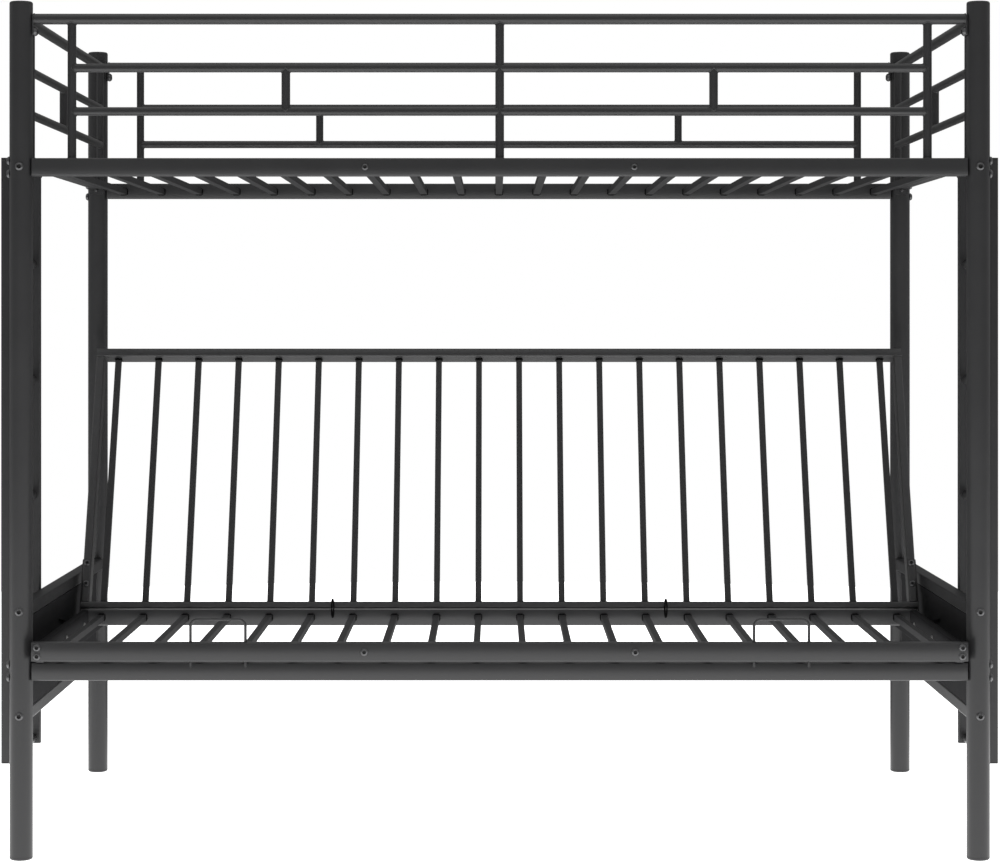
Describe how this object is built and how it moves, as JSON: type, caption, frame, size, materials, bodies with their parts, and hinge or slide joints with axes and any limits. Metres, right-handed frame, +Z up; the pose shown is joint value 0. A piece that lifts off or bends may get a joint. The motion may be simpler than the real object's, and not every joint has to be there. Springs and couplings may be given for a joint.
{
  "type": "futon bunk bed",
  "caption": "Metal bunk bed with a slatted, guarded upper bed, end ladders and a slatted futon sofa below that slides out and folds flat.",
  "frame": {"origin": "on the floor under the middle of the whole bed's box", "axes": "+X to the right seen from the front, +Y to the rear, +Z up"},
  "size_m": [1.995, 1.094, 1.698],
  "materials": {
    "frame_paint": "black satin powder coat",
    "black_bolts": "black oxide, slightly glossy",
    "black_plastic": "matt black moulding",
    "roller_nylon": "dark grey nylon",
    "plated_steel": "dull zinc plate"
  },
  "bodies": {
    "bed_frame": {"post_front_left": "frame_paint", "post_front_right": "frame_paint", "post_back_left": "frame_paint", "post_back_right": "frame_paint", "post_top_caps": "black_plastic", "post_feet": "black_plastic", "upper_front_rail": "frame_paint", "upper_rear_rail": "frame_paint", "lower_front_rail": "frame_paint", "lower_rear_rail": "frame_paint", "upper_slats": "frame_paint", "front_guard_bars": "frame_paint", "front_guard_uprights": "frame_paint", "rear_guard_bars": "frame_paint", "rear_guard_uprights": "frame_paint", "guard_flanges": "frame_paint", "ladder_plugs": "black_plastic", "glide_pads": "roller_nylon", "side_rail_bolts": "black_bolts", "end_rail_bolts": "black_bolts", "guard_screws": "black_bolts", "deck_rail_bolts": "black_bolts", "upper_left_end_rail": "frame_paint", "left_arm_rail": "frame_paint", "lower_left_end_rail": "frame_paint", "left_end_guard_bars": "frame_paint", "left_end_guard_uprights": "frame_paint", "left_ladder_stringers": "frame_paint", "left_ladder_rungs": "frame_paint", "left_side_plate": "frame_paint", "left_seat_track": "frame_paint", "upper_right_end_rail": "frame_paint", "right_arm_rail": "frame_paint", "lower_right_end_rail": "frame_paint", "right_end_guard_bars": "frame_paint", "right_end_guard_uprights": "frame_paint", "right_ladder_stringers": "frame_paint", "right_ladder_rungs": "frame_paint", "right_side_plate": "frame_paint", "right_seat_track": "frame_paint"},
    "seat_frame": {"seat_front_rail": "frame_paint", "seat_rear_rail": "frame_paint", "seat_side_rails": "frame_paint", "seat_slats": "frame_paint", "seat_bolts": "black_bolts", "mattress_loops": "frame_paint", "hinge_ears": "frame_paint", "hinge_pins": "plated_steel", "roller_axles": "plated_steel"},
    "back_frame": {"back_bottom_rail": "frame_paint", "back_top_rail": "frame_paint", "back_side_members": "frame_paint", "back_slats": "frame_paint", "hinge_brackets": "frame_paint", "guide_pins": "plated_steel", "bracket_bolts": "black_bolts"},
    "left_front_roller": {"left_front_roller": "roller_nylon"},
    "left_rear_roller": {"left_rear_roller": "roller_nylon"},
    "right_front_roller": {"right_front_roller": "roller_nylon"},
    "right_rear_roller": {"right_rear_roller": "roller_nylon"}
  },
  "joints": [
    {"name": "seat_slide", "type": "slide", "parent": "bed_frame", "child": "seat_frame", "axis": [0, -1, 0], "range_m": [0, 0.19]},
    {"name": "back_recline", "type": "hinge", "parent": "seat_frame", "child": "back_frame", "pos_m": [0, 0.087, 0.4156], "axis": [-1, 0, 0], "range_deg": [0, 66.5]},
    {"name": "left_front_roller_turn", "type": "hinge", "parent": "seat_frame", "child": "left_front_roller", "pos_m": [-0.9225, -0.231, 0.4045], "axis": [1, 0, 0], "continuous": true},
    {"name": "left_rear_roller_turn", "type": "hinge", "parent": "seat_frame", "child": "left_rear_roller", "pos_m": [-0.9225, 0.004, 0.4045], "axis": [1, 0, 0], "continuous": true},
    {"name": "right_front_roller_turn", "type": "hinge", "parent": "seat_frame", "child": "right_front_roller", "pos_m": [0.9225, -0.231, 0.4045], "axis": [1, 0, 0], "continuous": true},
    {"name": "right_rear_roller_turn", "type": "hinge", "parent": "seat_frame", "child": "right_rear_roller", "pos_m": [0.9225, 0.004, 0.4045], "axis": [1, 0, 0], "continuous": true}
  ],
  "couplings": [
    {"joint": "back_recline", "follows": "seat_slide", "rad_per_m": 6.1086},
    {"joint": "left_front_roller_turn", "follows": "seat_slide", "rad_per_m": 71.429},
    {"joint": "left_rear_roller_turn", "follows": "seat_slide", "rad_per_m": 71.429},
    {"joint": "right_front_roller_turn", "follows": "seat_slide", "rad_per_m": 71.429},
    {"joint": "right_rear_roller_turn", "follows": "seat_slide", "rad_per_m": 71.429}
  ]
}
